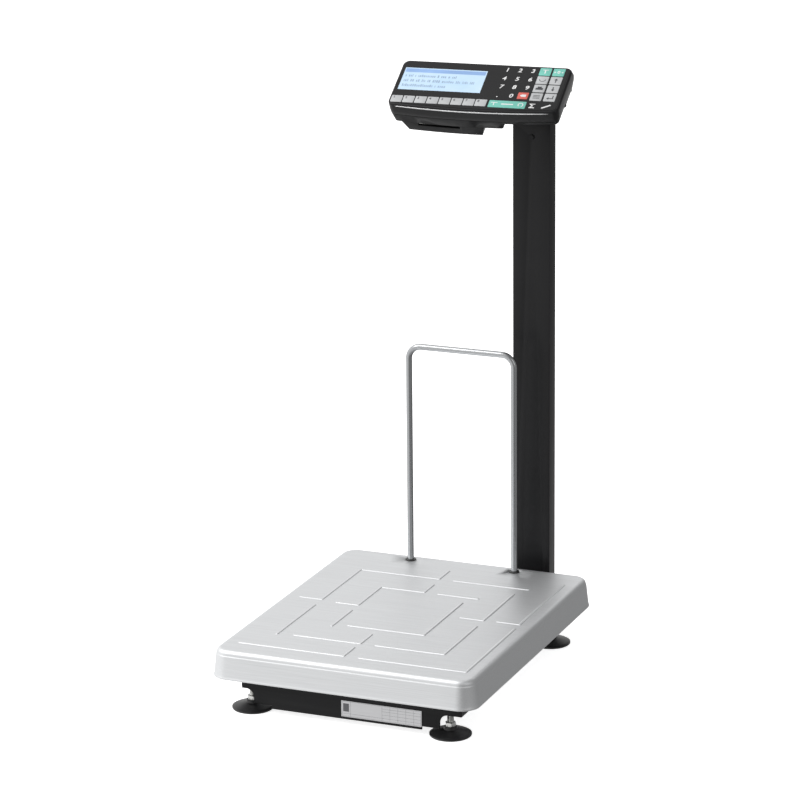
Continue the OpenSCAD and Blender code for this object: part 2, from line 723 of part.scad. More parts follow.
module roll_spindle() color(zinc) on_face() difference() {
    rod_x(chassis_x[0] - 2, chassis_x[1] + 4, roll_s, roll_n, 4);
    rod_x(chassis_x[0] - 3, chassis_x[1] + 5, roll_s, roll_n, 2.5);
}

module printer_motor() color([0.3, 0.3, 0.3]) on_face()
    rod_x(chassis_x[2] + 2, chassis_x[2] + 13, motor_s, motor_n, 6.5);

// Spur gear with straight-sided teeth, one of them pointing along +X
module gear(n, bore) difference() {
    pitch_r = gear_m * n / 2;
    linear_extrude(gear_w) union() {
        circle(pitch_r - gear_m);
        for (i = [0:n - 1]) rotate(i * 360 / n) polygon([
            [pitch_r - 1.6 * gear_m, -0.9 * gear_m], [pitch_r + 0.75 * gear_m, -0.3 * gear_m],
            [pitch_r + 0.75 * gear_m, 0.3 * gear_m], [pitch_r - 1.6 * gear_m, 0.9 * gear_m]
        ]);
    }
    translate([0, 0, -1]) cylinder(r = bore, h = gear_w + 2);
}

module motor_pinion() color([0.8, 0.7, 0.4]) on_face() {
    translate([gear_x, motor_s, motor_n]) rotate([0, 90, 0])
        rotate(mesh_angle + 90 + 180 / pinion_teeth + 180) gear(pinion_teeth, 0.9);
    rod_x(gear_x - 0.5, chassis_x[2] + 1.8, motor_s, motor_n, 1);
}

module platen_gear() color([0.85, 0.85, 0.8]) on_face()
    translate([gear_x, platen_s, platen_n]) rotate([0, 90, 0]) rotate(mesh_angle + 90) gear(platen_teeth, 2);

module platen_roller() color([0.12, 0.12, 0.12]) on_face() {
    rod_x(label_x - label_w / 2 - 3, label_x + label_w / 2 + 3, platen_s, platen_n, platen_r);
    rod_x(chassis_x[0] - 1, chassis_x[2] + 2.5, platen_s, platen_n, 2);
}

module label_roll() color([0.95, 0.95, 0.93]) on_face() difference() {
    rod_x(label_x - label_w / 2, label_x + label_w / 2, roll_s, roll_n, roll_d / 2);
    rod_x(label_x - label_w, label_x + label_w, roll_s, roll_n, core_r);
}

module roll_core() color([0.6, 0.5, 0.35]) on_face() difference() {
    rod_x(label_x - label_w / 2 - 1, label_x + label_w / 2 + 1, roll_s, roll_n, core_r);
    rod_x(label_x - label_w, label_x + label_w, roll_s, roll_n, 4 + running);
}

// Plan of the door between two sides, shrunk by t from the face
module door_plan(x0, x1, t) intersection() {
    outline(t);
    translate([x0, -term_w]) square([x1 - x0, term_w + door_rear_s]);
}
module door_form(t) hull() {
    sheet_at(door_top_n + (t > 0 ? 1 : 0)) door_plan(door_x[0] + t, door_x[1] - t, 6 + t, $fn = 32);
    sheet_at(pod_n + t) door_plan(pod_x[0] + t, pod_x[1] - t, 7.5 + t, $fn = 32);
}
// Bulge of the door round the label roll
module bulge(t) prism(bulge_x[0] + t, bulge_x[1] - t) polygon([
    [-68 + t, pod_n + 5], [-68 + t, pod_n], [-57, bulge_n + t], [-24, bulge_n + t],
    [door_rear_s - t, -53], [door_rear_s - t, pod_n + 5]
]);

module printer_door() color(plastic_black) on_face() difference() {
    union() {
        difference() {
            union() {
                door_form(0);
                bulge(0);
            }
            difference() {
                door_form(case_wall);
                translate([0, door_rear_s - case_wall, 0]) block(-term_w, term_w, 0, 10, -100, 0);
            }
            bulge(case_wall);
        }
        for (x = door_knuckle_x) {
            rod_x(x, x + 12, pin_s, pin_n, 4);
            block(x, x + 12, door_rear_s - 1, pin_s, pin_n - 4, pin_n);
        }
    }
    rod_x(door_x[0], door_x[1], pin_s, pin_n, 2 + running);
    block(label_x - label_w / 2 - 2, label_x + label_w / 2 + 2, -face_l - 2, -face_l + 20,
        door_top_n - 4.5, door_top_n + 1);
}

module door_pin() color(zinc) on_face() rod_x(door_knuckle_x[0] - 2, door_knuckle_x[1] + 14, pin_s, pin_n, 2);

front_channel();
rear_channel();
left_rail();
right_rail();
cell_beam();
cell_spacers();
load_cell();
cell_bolts();
spider_plate();
spider_left_bar();
spider_right_bar();
spider_front_bar();
spider_rear_bar();
pan_pads();
weld_nuts();
rating_plate();
column_bracket();
column();
column_bolts();
column_head();
column_screw();
cell_cable();
pan();
rail_sockets();
backrest_rail();
foot_pad_fl();
foot_pad_fr();
foot_pad_rl();
foot_pad_rr();
foot_stem_fl();
foot_stem_fr();
foot_stem_rl();
foot_stem_rr();
terminal_bracket();
swivel_bolt();
tilt_screws();
upper_case();
lower_case();
trim_strip();
keypad_overlay();
lcd_window();
lcd_module();
main_board();
case_screws();
case_feet();
power_inlet();
data_port();
printer_chassis();
print_head();
tear_bar();
roll_spindle();
printer_motor();
motor_pinion();
platen_roller();
platen_gear();
label_roll();
roll_core();
printer_door();
door_pin();
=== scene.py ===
import json
import math
import random

import bmesh
import bpy
import numpy as np
from mathutils import Matrix, Vector


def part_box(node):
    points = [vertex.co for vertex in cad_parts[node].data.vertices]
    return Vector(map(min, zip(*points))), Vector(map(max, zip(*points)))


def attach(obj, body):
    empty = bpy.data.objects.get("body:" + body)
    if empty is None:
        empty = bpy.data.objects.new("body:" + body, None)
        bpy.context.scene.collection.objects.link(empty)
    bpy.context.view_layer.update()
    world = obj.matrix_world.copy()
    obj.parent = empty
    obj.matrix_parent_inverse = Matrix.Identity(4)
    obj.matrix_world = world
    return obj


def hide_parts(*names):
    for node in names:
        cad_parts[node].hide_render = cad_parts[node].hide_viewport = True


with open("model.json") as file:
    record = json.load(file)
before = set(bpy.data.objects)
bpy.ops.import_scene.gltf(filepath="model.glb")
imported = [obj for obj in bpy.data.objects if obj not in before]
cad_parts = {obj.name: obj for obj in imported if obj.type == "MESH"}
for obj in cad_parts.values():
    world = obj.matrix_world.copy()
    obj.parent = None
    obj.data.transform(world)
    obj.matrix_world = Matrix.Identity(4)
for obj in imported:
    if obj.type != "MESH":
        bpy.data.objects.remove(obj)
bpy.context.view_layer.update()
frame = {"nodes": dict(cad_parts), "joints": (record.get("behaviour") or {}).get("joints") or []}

MM = 0.001
JOINTS = {j["name"]: j for j in frame["joints"]}


# ---- places that come from the frame ----

def middle(node):
    low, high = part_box(node)
    return (Vector(low) + Vector(high)) / 2


tilt = JOINTS["terminal_tilt"]
TILT_AXIS = Vector(tilt["axis"])
YAW = math.atan2(TILT_AXIS.y, TILT_AXIS.x)
FACE_TILT = math.radians(28.4)
PIVOT_IN_TERMINAL = Vector((64, -4, -56)) * MM
LEVEL = Matrix.Translation(Vector(tilt["pos_m"])) @ Matrix.Rotation(YAW, 4, "Z") \
    @ Matrix.Translation(-PIVOT_IN_TERMINAL)
FACE = LEVEL @ Matrix.Rotation(FACE_TILT, 4, "X")
PAN_LOW, PAN_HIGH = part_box("pan")
PAN_MIDDLE = middle("pan")


# ---- node helpers for materials ----

def new_material(name):
    mat = bpy.data.materials.new(name)
    mat.use_nodes = True
    return mat, mat.node_tree.nodes, mat.node_tree.links, mat.node_tree.nodes["Principled BSDF"]


def coordinates(nodes, links, scale, source="Object"):
    coord = nodes.new("ShaderNodeTexCoord")
    mapping = nodes.new("ShaderNodeMapping")
    mapping.inputs["Scale"].default_value = scale
    links.new(coord.outputs[source], mapping.inputs["Vector"])
    return mapping.outputs["Vector"]


def noise(nodes, links, vector, scale, detail=4, rough=0.55):
    tex = nodes.new("ShaderNodeTexNoise")
    tex.inputs["Scale"].default_value = scale
    tex.inputs["Detail"].default_value = detail
    tex.inputs["Roughness"].default_value = rough
    links.new(vector, tex.inputs["Vector"])
    return tex.outputs["Fac"]


def ranged(nodes, links, value, low, high):
    node = nodes.new("ShaderNodeMapRange")
    node.inputs["To Min"].default_value = low
    node.inputs["To Max"].default_value = high
    links.new(value, node.inputs["Value"])
    return node.outputs["Result"]


def tinted(nodes, links, value, dark, light):
    ramp = nodes.new("ShaderNodeValToRGB")
    ramp.color_ramp.elements[0].color = (*dark, 1)
    ramp.color_ramp.elements[1].color = (*light, 1)
    ramp.color_ramp.elements[0].position = 0.3
    ramp.color_ramp.elements[1].position = 0.7
    links.new(value, ramp.inputs["Fac"])
    return ramp.outputs["Color"]


def bumped(nodes, links, height, strength, distance):
    node = nodes.new("ShaderNodeBump")
    node.inputs["Strength"].default_value = strength
    node.inputs["Distance"].default_value = distance
    links.new(height, node.inputs["Height"])
    return node.outputs["Normal"]


def shade(color, factor):
    return tuple(min(1, c * factor) for c in color)


def brushed_steel(name, color, stretch, rough=0.28, grain=0.25):
    """Steel with fine grinding lines that run along the axis whose stretch is small."""
    mat, nodes, links, bsdf = new_material(name)
    lines = noise(nodes, links, coordinates(nodes, links, stretch), 1, 6, 0.65)
    cloud = noise(nodes, links, coordinates(nodes, links, (1, 1, 1)), 9, 3)
    links.new(tinted(nodes, links, lines, shade(color, 0.93), shade(color, 1.05)), bsdf.inputs["Base Color"])
    links.new(ranged(nodes, links, cloud, rough - 0.03, rough + 0.06), bsdf.inputs["Roughness"])
    links.new(bumped(nodes, links, lines, grain, 0.00006), bsdf.inputs["Normal"])
    bsdf.inputs["Metallic"].default_value = 1
    return mat


def coated_steel(name, color, rough=0.42):
    """Powder coat: a satin skin with a fine orange peel."""
    mat, nodes, links, bsdf = new_material(name)
    space = coordinates(nodes, links, (1, 1, 1))
    peel = noise(nodes, links, space, 1100, 2)
    cloud = noise(nodes, links, space, 14, 4)
    links.new(tinted(nodes, links, cloud, shade(color, 0.88), shade(color, 1.12)), bsdf.inputs["Base Color"])
    links.new(ranged(nodes, links, cloud, rough - 0.05, rough + 0.06), bsdf.inputs["Roughness"])
    links.new(bumped(nodes, links, peel, 0.35, 0.00012), bsdf.inputs["Normal"])
    bsdf.inputs["Specular IOR Level"].default_value = 0.22
    return mat


def moulded(name, color, rough=0.45, grain_scale=2600, grain=0.3, coat=0.0, specular=0.5):
    """Moulded plastic or rubber with a fine spark-eroded grain."""
    mat, nodes, links, bsdf = new_material(name)
    space = coordinates(nodes, links, (1, 1, 1))
    fine = noise(nodes, links, space, grain_scale, 2)
    cloud = noise(nodes, links, space, 25, 3)
    links.new(tinted(nodes, links, cloud, shade(color, 0.9), shade(color, 1.1)), bsdf.inputs["Base Color"])
    links.new(ranged(nodes, links, cloud, rough - 0.04, rough + 0.05), bsdf.inputs["Roughness"])
    links.new(bumped(nodes, links, fine, grain, 0.00006), bsdf.inputs["Normal"])
    bsdf.inputs["Specular IOR Level"].default_value = specular
    bsdf.inputs["Coat Weight"].default_value = coat
    bsdf.inputs["Coat Roughness"].default_value = 0.15
    return mat


def bright_metal(name, color, rough=0.2):
    mat, nodes, links, bsdf = new_material(name)
    cloud = noise(nodes, links, coordinates(nodes, links, (1, 1, 1)), 160, 4)
    links.new(tinted(nodes, links, cloud, shade(color, 0.85), shade(color, 1.08)), bsdf.inputs["Base Color"])
    links.new(ranged(nodes, links, cloud, rough, rough + 0.18), bsdf.inputs["Roughness"])
    links.new(bumped(nodes, links, cloud, 0.15, 0.0001), bsdf.inputs["Normal"])
    bsdf.inputs["Metallic"].default_value = 1
    return mat


def display(name):
    """Pale blue backlit display: faint pixel columns over a soft glow."""
    mat, nodes, links, bsdf = new_material(name)
    rows = nodes.new("ShaderNodeTexWave")
    rows.inputs["Scale"].default_value = 900
    links.new(coordinates(nodes, links, (1, 1, 1)), rows.inputs["Vector"])
    cloud = noise(nodes, links, coordinates(nodes, links, (1, 1, 1)), 30, 2)
    color = tinted(nodes, links, cloud, (0.50, 0.69, 0.89), (0.58, 0.75, 0.92))
    links.new(color, bsdf.inputs["Base Color"])
    links.new(color, bsdf.inputs["Emission Color"])
    bsdf.inputs["Emission Strength"].default_value = 0.18
    bsdf.inputs["Roughness"].default_value = 0.18
    links.new(bumped(nodes, links, rows.outputs["Fac"], 0.05, 0.00003), bsdf.inputs["Normal"])
    return mat


STEEL = (0.80, 0.81, 0.82)
BLACK = (0.014, 0.014, 0.015)
M = {
    "pan": brushed_steel("pan_steel", STEEL, (12, 900, 900), 0.5, 0.3),
    "rail": brushed_steel("rail_steel", (0.46, 0.47, 0.48), (1500, 1500, 25), 0.24),
    "coat": coated_steel("powder_coat", (0.012, 0.012, 0.013)),
    "column": coated_steel("column_coat", (0.013, 0.013, 0.014), 0.34),
    "zinc": bright_metal("zinc_plate", (0.78, 0.78, 0.76)),
    "foot": moulded("foot_plastic", (0.02, 0.02, 0.021), 0.38, 900, 0.2),
    "case": moulded("case_plastic", BLACK, 0.34, 2200, 0.35, specular=0.24),
    "film": moulded("overlay_film", (0.011, 0.011, 0.012), 0.26, 4000, 0.08, 0.1, 0.2),
    "trim": bright_metal("silver_trim", (0.86, 0.86, 0.87), 0.16),
    "display": display("display_blue"),
    "display_bar": moulded("display_bar_blue", (0.31, 0.50, 0.86), 0.3, 3000, 0.05),
    "display_ink": moulded("display_ink", (0.36, 0.50, 0.68), 0.4, 3000, 0.05),
    "key_grey": moulded("key_grey", (0.56, 0.57, 0.58), 0.42, 3500, 0.12),
    "key_teal": moulded("key_teal", (0.19, 0.60, 0.50), 0.42, 3500, 0.12),
    "key_red": moulded("key_red", (0.75, 0.13, 0.10), 0.42, 3500, 0.12),
    "white_ink": moulded("white_ink", (0.9, 0.9, 0.9), 0.5, 4000, 0.05),
    "dark_ink": moulded("dark_ink", (0.05, 0.05, 0.055), 0.5, 4000, 0.05),
    "plate": brushed_steel("plate_foil", (0.66, 0.66, 0.67), (20, 20, 2500), 0.4, 0.1),
    "plate_ink": moulded("plate_ink", (0.18, 0.18, 0.19), 0.5, 4000, 0.05),
    "rubber": moulded("pad_rubber", (0.02, 0.02, 0.02), 0.7, 700, 0.4),
    "cable": moulded("cable_sheath", (0.025, 0.025, 0.025), 0.5, 1500, 0.2),
    "cell": brushed_steel("cell_aluminium", (0.82, 0.83, 0.85), (700, 15, 700), 0.33),
    "board": moulded("solder_mask", (0.02, 0.16, 0.07), 0.3, 900, 0.5, 0.3),
    "port": moulded("port_plastic", (0.03, 0.03, 0.03), 0.4),
    "head": bright_metal("head_aluminium", (0.62, 0.62, 0.64), 0.35),
    "brass": bright_metal("brass", (0.78, 0.60, 0.28), 0.25),
    "acetal": moulded("gear_acetal", (0.82, 0.82, 0.78), 0.35),
    "paper": moulded("label_paper", (0.86, 0.86, 0.83), 0.8, 1800, 0.3),
    "card": moulded("core_card", (0.42, 0.29, 0.17), 0.85, 900, 0.6),
}


# ---- mesh helpers ----

def add_object(name, mesh, material, body, smooth=True):
    obj = bpy.data.objects.new(name, mesh)
    bpy.context.scene.collection.objects.link(obj)
    mesh.materials.clear()
    mesh.materials.append(M[material])
    if smooth:
        mesh.shade_smooth()
    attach(obj, body)
    return obj


def mesh_from(name, verts, faces):
    mesh = bpy.data.meshes.new(name)
    mesh.from_pydata(verts, [], faces)
    mesh.update()
    return mesh


def bevelled(obj, width, segments=3, angle=30):
    mod = obj.modifiers.new("edges", "BEVEL")
    mod.width = width
    mod.segments = segments
    mod.limit_method = "ANGLE"
    mod.angle_limit = math.radians(angle)
    mod.harden_normals = True


def softened(node, material, body, width, angle=30):
    """A copy of a CAD node with its hard edges rounded, which stands for that node."""
    mesh = frame["nodes"][node].data.copy()
    bm = bmesh.new()
    bm.from_mesh(mesh)
    bmesh.ops.remove_doubles(bm, verts=bm.verts, dist=1e-6)
    bmesh.ops.dissolve_limit(bm, angle_limit=math.radians(0.5), verts=bm.verts, edges=bm.edges)
    bm.to_mesh(mesh)
    bm.free()
    obj = add_object(node + "_shell", mesh, material, body)
    bevelled(obj, width, 3, angle)
    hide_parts(node)
    return obj


def rounded_rect(hw, hd, r, n=10):
    """Outline of a rectangle with round corners, counterclockwise."""
    points = []
    for k, (sx, sy) in enumerate(((1, 1), (-1, 1), (-1, -1), (1, -1))):
        for i in range(n + 1):
            a = math.radians(90 * k + 90 * i / n)
            points.append((sx * (hw - r) + r * math.cos(a), sy * (hd - r) + r * math.sin(a)))
    return points


def with_straights(points, step):
    """The outline with extra points along its long straight stretches."""
    out = []
    for a, b in zip(points, points[1:] + points[:1]):
        out.append(a)
        count = int(math.dist(a, b) / step)
        out += [(a[0] + (b[0] - a[0]) * i / count, a[1] + (b[1] - a[1]) * i / count) for i in range(1, count)]
    return out


def loft(rings, close_first=False, close_last=False):
    """Verts and faces of a skin over rings that have as many points each."""
    n = len(rings[0])
    verts = [p for ring in rings for p in ring]
    faces = [
        (k * n + i, k * n + (i + 1) % n, (k + 1) * n + (i + 1) % n, (k + 1) * n + i)
        for k in range(len(rings) - 1) for i in range(n)
    ]
    if close_first:
        faces.append(tuple(reversed(range(n))))
    if close_last:
        faces.append(tuple(range((len(rings) - 1) * n, len(rings) * n)))
    return verts, faces


def placed(verts, matrix):
    return [tuple(matrix @ (Vector(v) * MM)) for v in verts]


# ---- pan ----

RIB_RUNS = [
    [(-170, 7), (-136, 7), (-136, 154), (-9, 154), (-9, 193)],
    [(15, 154), (133, 154)],
    [(141, 5), (175, 5), (175, 192)],
    [(175, -16), (175, -207), (14, -207)],
    [(-10, -170), (-10, -207), (-171, -207)],
    [(-136, -20), (-136, -155)],
    [(-110, 2), (-76, 2), (-76, 89), (-7, 89), (-7, 126)],
    [(16, 89), (78, 89)],
    [(85, 3), (120, 3), (120, 126)],
    [(120, -25), (120, -151), (16, -151)],
    [(-8, -111), (-8, -151), (-110, -151)],
    [(-76, -24), (-76, -96)],
    [(-54, -86), (63, -86), (63, 63)],
]
RIB_HALF = 2.6
RIB_FLANK = 1.7
RIB_HEIGHT = 1.0
PAN_CORNER = 28
PAN_DRAFT = 5
PAN_EDGE = 7
PAN_SKIRT = 42
PAN_MARGIN = 3
PAN_SHEET = 1.2
# The skirt below the rolled edge, as inset and height: a fine step, the drawn wall and the hem
PAN_WALL = [(4.9, -8), (4.2, -8.5), (4.1, -9.5), (2.3, -25), (0.9, -37), (0.4, -39.2), (0, -39.8),
            (0, -41.4), (0.3, -41.9), (0.8, -PAN_SKIRT)]
# Reach of the finely divided part of the top, which holds the ribs
RIBS_X = (-182, 182)
RIBS_Y = (-214, 200)
SOCKET_FLANGE_R = 8
SOCKET_HOLE_R = 6.5
SOCKET_SIDES = 32


def rib_segments():
    return [(a, b) for run in RIB_RUNS for a, b in zip(run, run[1:])]


def rib_heights(x, y):
    """Height of the pan's ribs over a grid of places, from the distance to the nearest rib."""
    nearest = np.full(x.shape, 1e9)
    for (ax, ay), (bx, by) in rib_segments():
        length2 = (bx - ax) ** 2 + (by - ay) ** 2
        t = np.clip(((x - ax) * (bx - ax) + (y - ay) * (by - ay)) / length2, 0, 1)
        nearest = np.minimum(nearest, np.hypot(x - ax - t * (bx - ax), y - ay - t * (by - ay)))
    s = np.clip((RIB_HALF - nearest) / RIB_FLANK, 0, 1)
    return RIB_HEIGHT * (3 * s ** 2 - 2 * s ** 3)


def grid_lines(centres, low, high, fine=0.4, reach=3.6, coarse=12, least=0.25):
    """Places of grid lines: close together beside each rib, wide apart elsewhere."""
    lines = {low, high}
    for c in centres:
        lines.update(round(c + k * fine, 3) for k in range(int(-reach / fine), int(reach / fine) + 1))
    lines = sorted(v for v in lines if low <= v <= high)
    out = [lines[0]]
    for v in lines[1:]:
        if v - out[-1] < least and v != high:
            continue
        count = max(1, int((v - out[-1]) / coarse))
        start = out[-1]
        out += [start + (v - start) * i / count for i in range(1, count + 1)]
    return out


def make_pan():
    half_w = (PAN_HIGH[0] - PAN_LOW[0]) / 2 / MM
    half_d = (PAN_HIGH[1] - PAN_LOW[1]) / 2 / MM
    rim_z = PAN_LOW[2] / MM
    top_z = rim_z + PAN_SKIRT
    cx, cy = PAN_MIDDLE.x / MM, PAN_MIDDLE.y / MM
    points = [p for run in RIB_RUNS for p in run]
    xs = grid_lines(sorted({p[0] for p in points}), *RIBS_X)
    ys = grid_lines(sorted({p[1] for p in points}), *RIBS_Y)
    gx, gy = np.meshgrid(xs, ys)
    gz = rib_heights(gx, gy)
    bm = bmesh.new()
    grid = [[bm.verts.new((cx + gx[j][i], cy + gy[j][i], top_z + gz[j][i])) for i in range(len(xs))]
            for j in range(len(ys))]
    for j in range(len(ys) - 1):
        for i in range(len(xs) - 1):
            bm.faces.new((grid[j][i], grid[j][i + 1], grid[j + 1][i + 1], grid[j + 1][i]))
    loop = grid[0][:-1] + [row[-1] for row in grid[:-1]] + grid[-1][:0:-1] + [row[0] for row in grid[:0:-1]]

    # Skirt: flat margin, rolled edge and the wall below it
    profile = [(PAN_DRAFT + PAN_EDGE + PAN_MARGIN, 0)]
    for degrees in range(0, 91, 10):
        a = math.radians(degrees)
        profile.append((PAN_DRAFT + PAN_EDGE * (1 - math.sin(a)), -PAN_EDGE * (1 - math.cos(a))))
    profile += PAN_WALL
    rings = []
    for inset, z in profile:
        outline = with_straights(rounded_rect(half_w - inset, half_d - inset, PAN_CORNER - inset, 12), 25)
        rings.append([bm.verts.new((cx + x, cy + y, top_z + z)) for x, y in outline])
    n = len(rings[0])
    for a, b in zip(rings, rings[1:]):
        for i in range(n):
            bm.faces.new((a[i], b[i], b[(i + 1) % n], a[(i + 1) % n]))

    # Holes for the rail's sockets
    low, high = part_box("rail_sockets")
    span = (high[0] - low[0]) / 2 / MM - SOCKET_FLANGE_R
    hole_y = (low[1] + high[1]) / 2 / MM
    angles = [math.tau * i / SOCKET_SIDES for i in range(SOCKET_SIDES)]
    edges = []
    for side in (-1, 1):
        ring = [bm.verts.new((cx + side * span + SOCKET_HOLE_R * math.cos(a),
                              hole_y + SOCKET_HOLE_R * math.sin(a), top_z)) for a in angles]
        edges += [bm.edges.new((ring[i], ring[(i + 1) % SOCKET_SIDES])) for i in range(SOCKET_SIDES)]
    for ring in (loop, rings[0]):
        edges += [bm.edges.get((ring[i], ring[(i + 1) % len(ring)])) for i in range(len(ring))]
    bmesh.ops.triangle_fill(bm, edges=edges, use_beauty=True, use_dissolve=False, normal=(0, 0, 1))
    bmesh.ops.recalc_face_normals(bm, faces=bm.faces)
    for v in bm.verts:
        v.co *= MM
    mesh = bpy.data.meshes.new("pan_sheet")
    bm.to_mesh(mesh)
    bm.free()
    pan = add_object("pan_sheet", mesh, "pan", "pan")
    shell = pan.modifiers.new("sheet", "SOLIDIFY")
    shell.thickness = PAN_SHEET * MM
    shell.offset = -1
    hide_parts("pan")


# ---- base, column and feet ----

STEM_R = 5
STEM_PITCH = 1.5
STEM_HEX = (13, 19)
STEM_HEX_ACROSS = 14

def threaded(x, y, z0, z1, r, pitch, name, body):
    """A rod with a real helical thread."""
    around, up = 32, int((z1 - z0) / pitch * 8)
    rings = []
    for k in range(up + 1):
        z = z0 + (z1 - z0) * k / up
        ring = []
        for i in range(around):
            phase = (z / pitch - i / around) % 1
            depth = 0.6 * pitch * abs(2 * phase - 1)
            rr = r - (depth if 0 < k < up else 0.6 * pitch)
            a = math.tau * i / around
            ring.append((x + rr * math.cos(a), y + rr * math.sin(a), z))
        rings.append(ring)
    verts, faces = loft(rings, True, True)
    return add_object(name, mesh_from(name, [tuple(c * MM for c in v) for v in verts], faces), "zinc", body)


def hexagon(x, y, z0, z1, across, name, body):
    """A hexagon nut with turned chamfers."""
    r = across / math.sqrt(3)
    rings = []
    for z, limit in ((z0, across / 2 + 0.1), (z0 + 0.7, r), (z1 - 0.7, r), (z1, across / 2 + 0.1)):
        ring = []
        for i in range(48):
            a = math.tau * i / 48
            flat = (across / 2) / math.cos((a % (math.pi / 3)) - math.pi / 6)
            rr = min(flat, limit)
            ring.append((x + rr * math.cos(a), y + rr * math.sin(a), z))
        rings.append(ring)
    verts, faces = loft(rings, True, True)
    obj = add_object(name, mesh_from(name, [tuple(c * MM for c in v) for v in verts], faces), "zinc", body)
    bevelled(obj, 0.0003, 2, 40)
    return obj


def make_feet():
    for key in ("fl", "fr", "rl", "rr"):
        stem = "foot_stem_" + key
        _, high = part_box(stem)
        mid = middle(stem) / MM
        thread = threaded(mid.x, mid.y, STEM_HEX[1], high[2] / MM, STEM_R, STEM_PITCH, "thread_" + key,
                          "foot_" + key)
        nut = hexagon(mid.x, mid.y, *STEM_HEX, STEM_HEX_ACROSS, "stem_hex_" + key, "foot_" + key)
        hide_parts(stem)
        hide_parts(stem)


def make_base():
    for node in ("front_channel", "rear_channel"):
        softened(node, "coat", "base", 0.0011)
    for node in ("left_rail", "right_rail", "cell_beam", "spider_left_bar", "spider_right_bar",
                 "spider_front_bar", "spider_rear_bar"):
        softened(node, "coat", "base", 0.0007)
    softened("column_bracket", "coat", "base", 0.0009)
    softened("column", "column", "base", 0.0008, 60)


def make_rating_plate():
    """Blank foil plate with ruled boxes and no writing."""
    low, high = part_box("rating_plate")
    x0, x1, z0, z1 = low[0] / MM, high[0] / MM, low[2] / MM, high[2] / MM
    y = low[1] / MM
    verts, faces = loft([
        [(x, yy, z) for x, z in ((x0 + e, z0 + e), (x1 - e, z0 + e), (x1 - e, z1 - e), (x0 + e, z1 - e))]
        for yy, e in ((high[1] / MM, 0), (y + 0.15, 0), (y, 0.15))
    ], True, True)
    foil = mesh_from("plate_foil", [tuple(c * MM for c in v) for v in verts], faces)
    plate = add_object("plate_foil", foil, "plate", "base", False)
    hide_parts("rating_plate")
    bars = []

    def line(xa, za, xb, zb):
        bars.append((xa, xb, za, zb))

    t = 0.25
    for z in (z0 + 1.2, z0 + 5, z1 - 1.2):
        line(x0 + 1.2, z, x1 - 1.2, z + t)
    for x in (x0 + 1.2, x0 + 14, x1 - 60, x1 - 48, x1 - 36, x1 - 24, x1 - 12, x1 - 1.2 - t):
        line(x, z0 + 1.2, x + t, z1 - 1.2)
    for z in (z0 + 10, z0 + 15, z0 + 19):
        line(x1 - 60, z, x1 - 1.2, z + t)
    line(x0 + 3, z0 + 8, x0 + 12, z1 - 4)
    verts, faces = [], []
    for xa, xb, za, zb in bars:
        k = len(verts)
        for yy in (y - 0.05, y + 0.02):
            verts += [(xa * MM, yy * MM, za * MM), (xb * MM, yy * MM, za * MM),
                      (xb * MM, yy * MM, zb * MM), (xa * MM, yy * MM, zb * MM)]
        faces += [(k, k + 1, k + 2, k + 3), (k + 7, k + 6, k + 5, k + 4), (k, k + 4, k + 5, k + 1),
                  (k + 1, k + 5, k + 6, k + 2), (k + 2, k + 6, k + 7, k + 3), (k + 3, k + 7, k + 4, k)]
    ink = add_object("plate_rules", mesh_from("plate_rules", verts, faces), "plate_ink", "base", False)


# ---- terminal ----

TERM_W = 256
FACE_L = 107
CASE_R = 10
BOW = 7
BOW_HALF = 128
BOW_R = (BOW_HALF ** 2 + BOW ** 2) / (2 * BOW)
BOW_CENTRE = BOW_R - FACE_L
CORNER_X = TERM_W / 2 - CASE_R
CORNER_S = BOW_CENTRE - math.sqrt((BOW_R - CASE_R) ** 2 - CORNER_X ** 2)
# The case's rolled top edge: how far it reaches in, down and back
EDGE_IN = 3
EDGE_DOWN = 3.2
EDGE_BACK = 0.8
# The case's walls below that edge, as inset, depth and how far the rear stands back
CASE_OUTSIDE = ((0, -4.2, 1), (0.2, -8.5, 4.3), (0.5, -14, 8), (1.1, -20, 8.5), (1.6, -20.8, 8.5))
CASE_INSIDE = ((3.8, -20.9, 8.5), (3.1, -14, 8), (2.6, -5, 1.5), (4.2, -2.6, 0.5))
TRIM_ENDS = (-116, 114)
TRIM_DEPTH = -4
TRIM_STEPS = 80


def arc_points(x, y, r, start, stop, n):
    angles = np.linspace(math.radians(start), math.radians(stop), n)
    return [(x + r * math.cos(a), y + r * math.sin(a)) for a in angles]


def between(a, b, n):
    return [(a[0] + (b[0] - a[0]) * k / n, a[1] + (b[1] - a[1]) * k / n) for k in range(1, n)]


def case_outline(inset, rear=0.0):
    """The face's outline, counterclockwise: straight back and sides and a front edge that is an arc."""
    r = max(CASE_R - inset, 0.3)
    turn = math.degrees(math.atan2(CORNER_S - BOW_CENTRE, CORNER_X)) % 360
    rear_right = arc_points(CORNER_X, rear - CASE_R, r, 0, 90, 9)
    rear_left = arc_points(-CORNER_X, rear - CASE_R, r, 90, 180, 9)
    front_left = arc_points(-CORNER_X, CORNER_S, r, 180, 540 - turn, 9)
    front = arc_points(0, BOW_CENTRE, BOW_R - inset, 540 - turn, turn, 50)[1:-1]
    front_right = arc_points(CORNER_X, CORNER_S, r, turn, 360, 9)
    return (rear_right + between(rear_right[-1], rear_left[0], 16) + rear_left
            + between(rear_left[-1], front_left[0], 8) + front_left + front + front_right
            + between(front_right[-1], rear_right[0], 8))


def case_ring(inset, depth, rear=0.0):
    return [(x, s, depth) for x, s in case_outline(inset, rear)]


